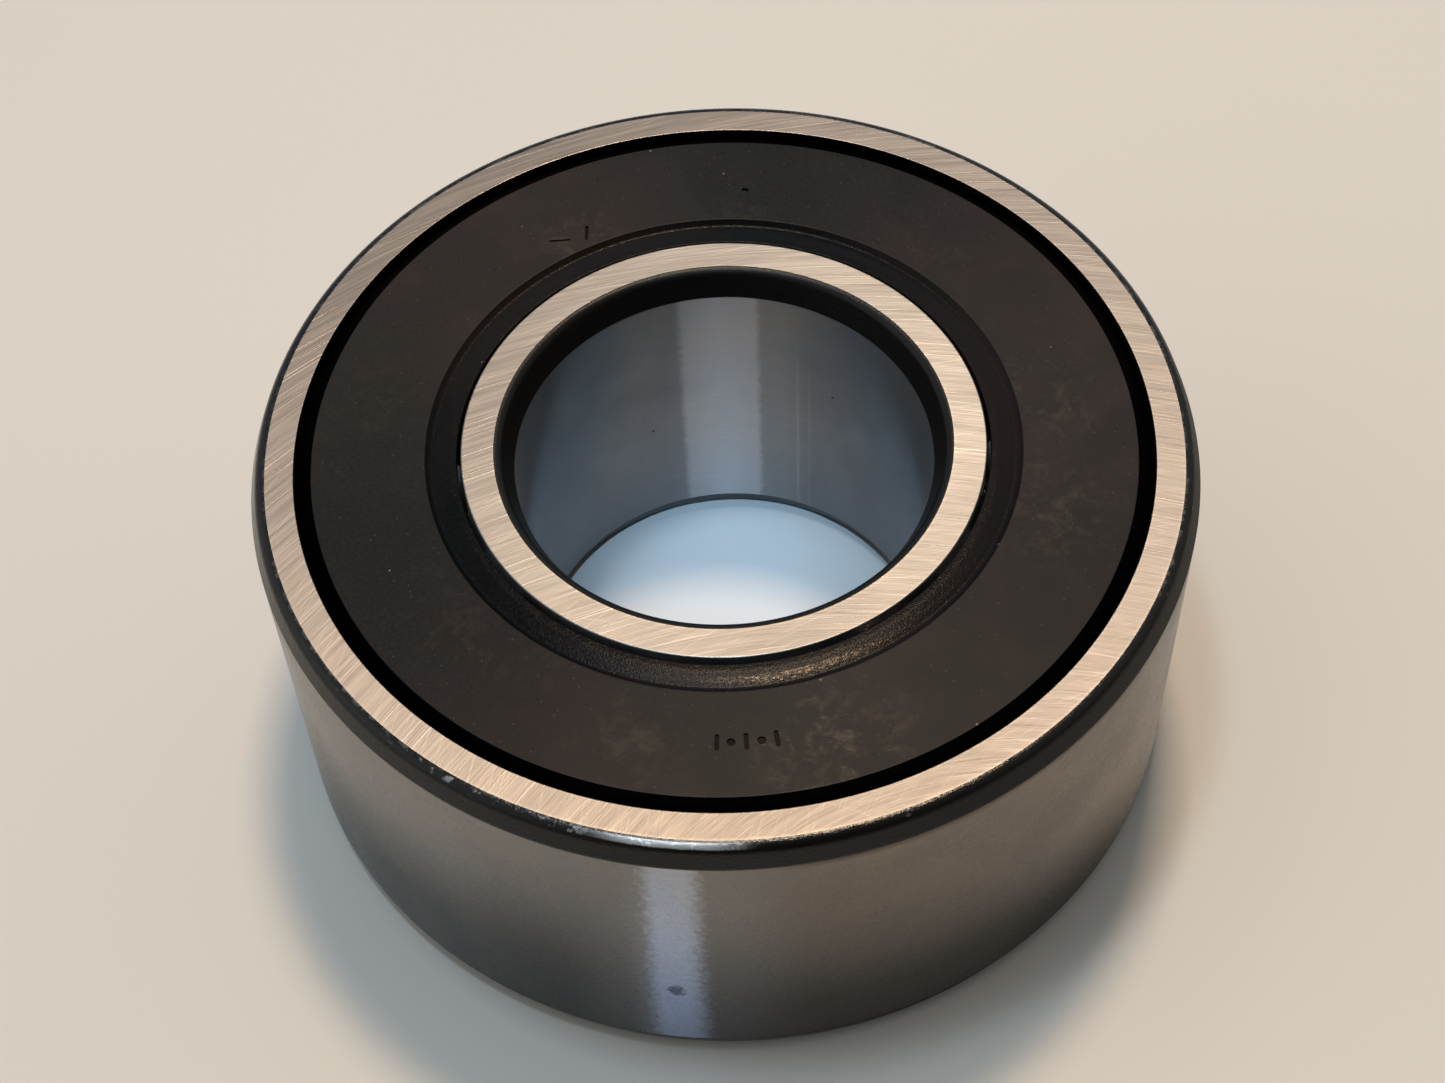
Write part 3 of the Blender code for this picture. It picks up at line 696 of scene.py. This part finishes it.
def guide_ring():
    end_r = PITCH_R + ROLLER_L / 2 * SIN_A
    end_z = ROW_Z - ROLLER_L / 2 * COS_A

    def half(r):
        return end_z - 0.3 / COS_A + (r - end_r) * SIN_A / COS_A

    a, b = 26.85, 34.5
    profile = filleted([(a, half(a), 0.12), (b, half(b), 0.25), (b, -half(b), 0.25), (a, -half(a), 0.12)], 4)
    return lathe("guide_ring_turned", profile, 160, None, (GUIDE,))


def seal_section():
    """Same section as the CAD solid, with its curves drawn smooth."""
    rim = filleted([
        (39.0, SEAL_Z, 0.5), (39.75, 18.62, 0.5), (40.15, 18.15, 0.5), (40.3, 17.7, 0.4),
        (41.1, 17.2, 0.12), (41.1, 16.6, 0.15), (38.9, 16.6, 0.1), (38.9, 17.7, 0.1), (29.0, 17.7, 0.1),
        (29.0, 16.6, 0.1), (26.6, 16.6, 0.4), (25.3, 17.3, 0.3), (25.3, 18.62, 0.14),
        (26.05, 18.62, 2.2), (27.15, 18.405, 2.5), (27.80, 18.24, 0.5), (28.32, SEAL_Z, 0.2),
    ], 6)
    return rim


def seal(name, side):
    profile = [(r, side * z) for r, z in seal_section()]

    def zone(r, z, nr, nz):
        if r > 39.06:
            return 2
        return 1 if r < 28.30 else 0

    return lathe(name, profile, 240, zone, (RUBBER, RUBBER_LIP, RUBBER_BEAD_SHADED, RUBBER_MARK_SHADED), sharp=50.0)


def cut_marks(obj, side):
    """Moulded-in marks: a row of plain round-ended ticks and dimples, sunk into the flat."""
    bm = bmesh.new()

    def capsule(r, az, length, width, depth, turn):
        """A short round-ended slot, centred at (r, az), its length turned from the radial line."""
        a = math.radians(az)
        centre = Vector((r * math.cos(a), r * math.sin(a), 0.0))
        direction = a + math.radians(turn)
        ring = []
        n = 10
        straight = max(0.0, length - width) / 2
        for end in (1, -1):
            for k in range(n + 1):
                t = direction + (0 if end > 0 else math.pi) - math.pi / 2 + math.pi * k / n
                ring.append(centre + Vector((math.cos(direction), math.sin(direction), 0)) * straight * end
                            + Vector((math.cos(t), math.sin(t), 0)) * width / 2)
        low = [bm.verts.new((p.x * MM, p.y * MM, side * (SEAL_Z - depth) * MM)) for p in ring]
        high = [bm.verts.new((p.x * MM, p.y * MM, side * (SEAL_Z + 0.3) * MM)) for p in ring]
        bm.faces.new(low)
        bm.faces.new(high)
        for i in range(len(ring)):
            j = (i + 1) % len(ring)
            bm.faces.new((low[i], low[j], high[j], high[i]))

    for az, length, width in ((-93.0, 1.7, 0.44), (-90.9, 0.80, 0.80), (-88.6, 1.7, 0.44), (-86.3, 0.80, 0.80), (-84.0, 1.7, 0.44)):
        capsule(33.55, az, length, width, 0.16, 0.0)
    # Two small nicks in the rubber on the far side, and an injection pip.
    capsule(30.1, 115.2, 1.9, 0.36, 0.22, -27.0)
    capsule(30.6, 120.5, 2.2, 0.28, 0.12, 62.0)
    capsule(32.4, 84.0, 0.75, 0.42, 0.20, 80.0)
    bmesh.ops.recalc_face_normals(bm, faces=bm.faces)
    mesh = bpy.data.meshes.new("mark_cutter")
    bm.to_mesh(mesh)
    bm.free()
    for material in (RUBBER, RUBBER_LIP, RUBBER_BEAD_SHADED, RUBBER_MARK_SHADED):
        mesh.materials.append(material)
    # The cut walls and floors take the darker mark material, painted shade in the sunk marks.
    mesh.polygons.foreach_set("material_index", [3] * len(mesh.polygons))
    cutter = bpy.data.objects.new("mark_cutter", mesh)
    bpy.context.scene.collection.objects.link(cutter)
    mod = obj.modifiers.new("marks", "BOOLEAN")
    mod.operation = "DIFFERENCE"
    mod.solver = "EXACT"
    mod.object = cutter
    bpy.context.view_layer.update()
    graph = bpy.context.evaluated_depsgraph_get()
    made = bpy.data.meshes.new_from_object(obj.evaluated_get(graph))
    obj.modifiers.clear()
    old = obj.data
    obj.data = made
    made.set_sharp_from_angle(angle=math.radians(50))
    bpy.data.meshes.remove(old)
    bpy.data.objects.remove(cutter, do_unlink=True)


def insert(name, side):
    profile = filleted([(29.3, 16.65, 0.1), (38.6, 16.65, 0.1), (38.6, 17.4, 0.1), (29.3, 17.4, 0.1)], 3)
    return lathe(name, [(r, side * z) for r, z in profile], 160, None, (INSERT,))


def roller_mesh():
    half = ROLLER_L / 2

    def crown(s):
        return ROLLER_R - CROWN_R + math.sqrt(CROWN_R ** 2 - s * s)

    shoulder = half - 0.5
    end = [(0.0, half - 0.25), (1.6, half - 0.25), (2.3, half), (crown(half) - 0.5, half)]
    flank = [(crown(shoulder * k / 8), shoulder * k / 8) for k in range(8, 0, -1)]
    side = filleted([(2.3, half, 0.0), (crown(half) - 0.5, half, 0.25), (crown(shoulder), shoulder, 0.3), (crown(shoulder * 0.8), shoulder * 0.8, 0.0)], 4)
    upper = end[:2] + side[:-1] + flank[2:]
    profile = upper + [(crown(0.0), 0.0)] + [(r, -z) for r, z in reversed(upper)]
    segments = 48
    verts, faces = [], []
    rings = profile[1:-1]
    for s in range(segments):
        a = TAU * s / segments
        verts += [(r * MM * math.cos(a), r * MM * math.sin(a), z * MM) for r, z in rings]
    n = len(rings)
    top, bottom = len(verts), len(verts) + 1
    verts += [(0, 0, profile[0][1] * MM), (0, 0, profile[-1][1] * MM)]
    for s in range(segments):
        t = (s + 1) % segments
        for i in range(n - 1):
            faces.append((s * n + i, s * n + i + 1, t * n + i + 1, t * n + i))
        faces.append((s * n, t * n, top))
        faces.append((t * n + n - 1, s * n + n - 1, bottom))
    mesh = bpy.data.meshes.new("barrel_roller")
    mesh.from_pydata(verts, [], faces)
    mesh.materials.append(ROLLER)
    mesh.shade_smooth()
    mesh.set_sharp_from_angle(angle=math.radians(35))
    return mesh


def cage(name, side):
    """Pressed cage with a window for each roller, rounded at its edges."""
    half = ROLLER_L / 2 + 0.35
    inner, outer, sheet, rim, flange = 2.8, 3.8, 1.0, 1.35, -1.5
    section = [(-half - rim, outer), (-half, outer), (half, outer), (half + sheet, outer), (half + sheet, flange),
               (half, flange), (half, inner), (-half, inner), (-half - rim, inner)]
    A, B, C, D, E, F, G, H, I = range(9)
    bar_angle = math.radians(4.7)
    pitch = TAU / ROLLERS
    offset = 0.0 if side > 0 else 0.5
    angles = []
    for k in range(ROLLERS):
        start = TAU * (k + offset) / ROLLERS + pitch / 2 - bar_angle / 2
        for step in range(2):
            angles.append((start + bar_angle * step / 2, True))
        for step in range(10):
            angles.append((start + bar_angle + (pitch - bar_angle) * step / 10, False))
    bm = bmesh.new()
    rings = []
    for angle, _ in angles:
        ring = []
        for s, off in section:
            r = PITCH_R - s * SIN_A + off * COS_A
            z = ROW_Z + s * COS_A + off * SIN_A
            ring.append(bm.verts.new((r * MM * math.cos(angle), r * MM * math.sin(angle), side * z * MM)))
        rings.append(ring)

    def skin(a, b, loop):
        for p, q in zip(loop, loop[1:] + loop[:1]):
            bm.faces.new((a[p], a[q], b[q], b[p]))

    count = len(angles)
    for j in range(count):
        a, b = rings[j], rings[(j + 1) % count]
        bar, bar_before, bar_after = angles[j][1], angles[j - 1][1], angles[(j + 1) % count][1]
        if bar:
            skin(a, b, [A, B, C, D, E, F, G, H, I])
            if not bar_before:
                bm.faces.new([a[p] for p in (B, C, G, H)])
            if not bar_after:
                bm.faces.new([b[p] for p in (B, C, G, H)])
        else:
            skin(a, b, [C, D, E, F, G])
            skin(a, b, [A, B, H, I])
    bmesh.ops.recalc_face_normals(bm, faces=bm.faces)
    mesh = bpy.data.meshes.new(name)
    bm.to_mesh(mesh)
    bm.free()
    mesh.materials.append(CAGE)
    obj = bpy.data.objects.new(name, mesh)
    bpy.context.scene.collection.objects.link(obj)
    mod = obj.modifiers.new("edges", "BEVEL")
    mod.width = 0.00012
    mod.segments = 2
    mod.limit_method = "ANGLE"
    mod.angle_limit = math.radians(40)
    bpy.context.view_layer.update()
    graph = bpy.context.evaluated_depsgraph_get()
    made = bpy.data.meshes.new_from_object(obj.evaluated_get(graph))
    obj.modifiers.clear()
    obj.data = made
    made.shade_smooth()
    made.set_sharp_from_angle(angle=math.radians(35))
    return obj


def settle(obj, body, node):
    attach(obj, body)
    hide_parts(node)


settle(outer_ring(), "outer", "outer_ring")
settle(inner_ring(), "inner", "inner_ring")
settle(guide_ring(), "guide", "guide_ring")
barrel = roller_mesh()
for row, side in (("upper", 1), ("lower", -1)):
    rubber = seal(f"{row}_seal_moulded", side)
    cut_marks(rubber, side)
    settle(rubber, "outer", f"{row}_seal")
    settle(insert(f"{row}_seal_stiffener", side), "outer", f"{row}_seal_insert")
    settle(cage(f"{row}_cage_pressed", side), f"{row}_cage", f"{row}_cage")
    for k in range(ROLLERS):
        az = TAU * (k + (0.0 if side > 0 else 0.5)) / ROLLERS
        outward = Vector((math.cos(az), math.sin(az), 0.0))
        around = Vector((-math.sin(az), math.cos(az), 0.0))
        axis = Vector((0.0, 0.0, COS_A)) - outward * (side * SIN_A)
        turn = Matrix((around.cross(axis), around, axis)).transposed().to_4x4()
        place = Matrix.Translation((outward * PITCH_R + Vector((0, 0, side * ROW_Z))) * MM) @ turn
        obj = bpy.data.objects.new(f"{row}_roller_{k + 1:02d}_barrel", barrel)
        bpy.context.scene.collection.objects.link(obj)
        obj.matrix_world = place
        name = f"{row}_roller_{k + 1:02d}"
        settle(obj, name, name)


# ---------------------------------------------------------------------------
# Floor, light and camera
# ---------------------------------------------------------------------------
def floor():
    m = Mat("floor_pale")
    vec, x, y, z, r = m.xyz()
    n = m.noise(m.vec(m.mul(x, 0.01), m.mul(y, 0.01), 0.0), 1.0, 2.0, 0.5)
    m.set(Base_Color=m.mix(n, (0.735, 0.715, 0.675), (0.765, 0.745, 0.705)), Roughness=0.55, Metallic=0.0)
    mesh = bpy.data.meshes.new("floor_plane")
    s = 2.4
    z0 = -HALF * MM
    mesh.from_pydata([(-s, -s, z0), (s, -s, z0), (s, s, z0), (-s, s, z0)], [], [(0, 1, 2, 3)])
    mesh.materials.append(m.mat)
    obj = bpy.data.objects.new("floor_plane", mesh)
    bpy.context.scene.collection.objects.link(obj)


def area(name, azimuth, elevation, distance, width, height, colour, watts, target=(0, 0, 0.01)):
    az, el = math.radians(azimuth), math.radians(elevation)
    target = Vector(target)
    loc = target + distance * Vector((math.cos(el) * math.cos(az), math.cos(el) * math.sin(az), math.sin(el)))
    data = bpy.data.lights.new(name, "AREA")
    data.shape = "RECTANGLE"
    data.size, data.size_y = width, height
    data.color = colour
    data.energy = watts
    obj = bpy.data.objects.new(name, data)
    obj.location = loc
    obj.rotation_euler = (target - loc).to_track_quat("-Z", "Y").to_euler()
    bpy.context.scene.collection.objects.link(obj)
    return obj


def lobe(nt, direction, power, colour, strength):
    """One soft patch of environment light round a direction."""
    coord = nt.nodes.new("ShaderNodeTexCoord")
    dot = nt.nodes.new("ShaderNodeVectorMath")
    dot.operation = "DOT_PRODUCT"
    nt.links.new(coord.outputs["Generated"], dot.inputs[0])
    dot.inputs[1].default_value = Vector(direction).normalized()
    keep = nt.nodes.new("ShaderNodeMath")
    keep.operation = "MAXIMUM"
    nt.links.new(dot.outputs["Value"], keep.inputs[0])
    keep.inputs[1].default_value = 0.0
    lift = nt.nodes.new("ShaderNodeMath")
    lift.operation = "POWER"
    nt.links.new(keep.outputs[0], lift.inputs[0])
    lift.inputs[1].default_value = power
    bg = nt.nodes.new("ShaderNodeBackground")
    bg.inputs[0].default_value = (*colour, 1.0)
    gain = nt.nodes.new("ShaderNodeMath")
    gain.operation = "MULTIPLY"
    nt.links.new(lift.outputs[0], gain.inputs[0])
    gain.inputs[1].default_value = strength
    nt.links.new(gain.outputs[0], bg.inputs[1])
    return bg.outputs[0]


def toward(azimuth, elevation):
    az, el = math.radians(azimuth), math.radians(elevation)
    return (math.cos(el) * math.cos(az), math.cos(el) * math.sin(az), math.sin(el))


def lighting():
    area("warm_key", 78, 73, 0.9, 0.13, 0.13, (1.0, 0.745, 0.50), 4.06)
    area("cool_top", 160, 82.5, 0.8, 0.12, 0.07, (0.70, 0.86, 1.0), 1.15, target=(-0.004, -0.03, 0.019))
    spot = bpy.data.lights.new("bore_light", "SPOT")
    spot.energy = 14.8
    spot.color = (0.50, 0.80, 1.15)
    spot.spot_size = math.radians(2.9)
    spot.spot_blend = 0.45
    spot.shadow_soft_size = 0.012
    lamp = bpy.data.objects.new("bore_light", spot)
    lamp.location = Vector(toward(268, 66)) * 0.8 + Vector((0.0, 0.003, 0.0))
    lamp.rotation_euler = (Vector((0.0, 0.003, 0.0)) - lamp.location).to_track_quat("-Z", "Y").to_euler()
    bpy.context.scene.collection.objects.link(lamp)

    world = bpy.data.worlds.new("studio")
    world.use_nodes = True
    nt = world.node_tree
    nt.nodes.clear()
    out = nt.nodes.new("ShaderNodeOutputWorld")
    base = nt.nodes.new("ShaderNodeBackground")
    base.inputs[0].default_value = (0.040, 0.040, 0.042, 1.0)
    total = base.outputs[0]
    for direction, power, colour, strength in (
        (toward(180, 30), 3.0, (0.95, 1.0, 1.0), 0.82),
        (toward(30, 42), 3.0, (1.0, 0.96, 0.84), 0.42),
        (toward(90, 30), 4.0, (0.45, 0.76, 1.15), 0.35),
    ):
        add = nt.nodes.new("ShaderNodeAddShader")
        nt.links.new(total, add.inputs[0])
        nt.links.new(lobe(nt, direction, power, colour, strength), add.inputs[1])
        total = add.outputs[0]
    nt.links.new(total, out.inputs[0])
    bpy.context.scene.world = world


def camera():
    data = bpy.data.cameras.new("camera")
    data.sensor_width = 36.0
    data.lens = 63.93
    data.clip_start, data.clip_end = 0.005, 20.0
    obj = bpy.data.objects.new("camera", data)
    loc = Vector((0.0, -0.150481, 0.209775))
    aim = Vector((-0.000494, -0.012102, 0.019))
    forward = (aim - loc).normalized()
    right = forward.cross(Vector((0, 0, 1))).normalized()
    up = right.cross(forward)
    roll = math.radians(-2.766)
    c, s = math.cos(roll), math.sin(roll)
    right, up = c * right + s * up, -s * right + c * up
    rot = Matrix((right, up, -forward)).transposed().to_4x4()
    obj.matrix_world = Matrix.Translation(loc) @ rot
    bpy.context.scene.collection.objects.link(obj)
    bpy.context.scene.camera = obj


floor()
lighting()
camera()
bpy.context.scene.view_settings.view_transform = "Standard"

bpy.context.view_layer.update()
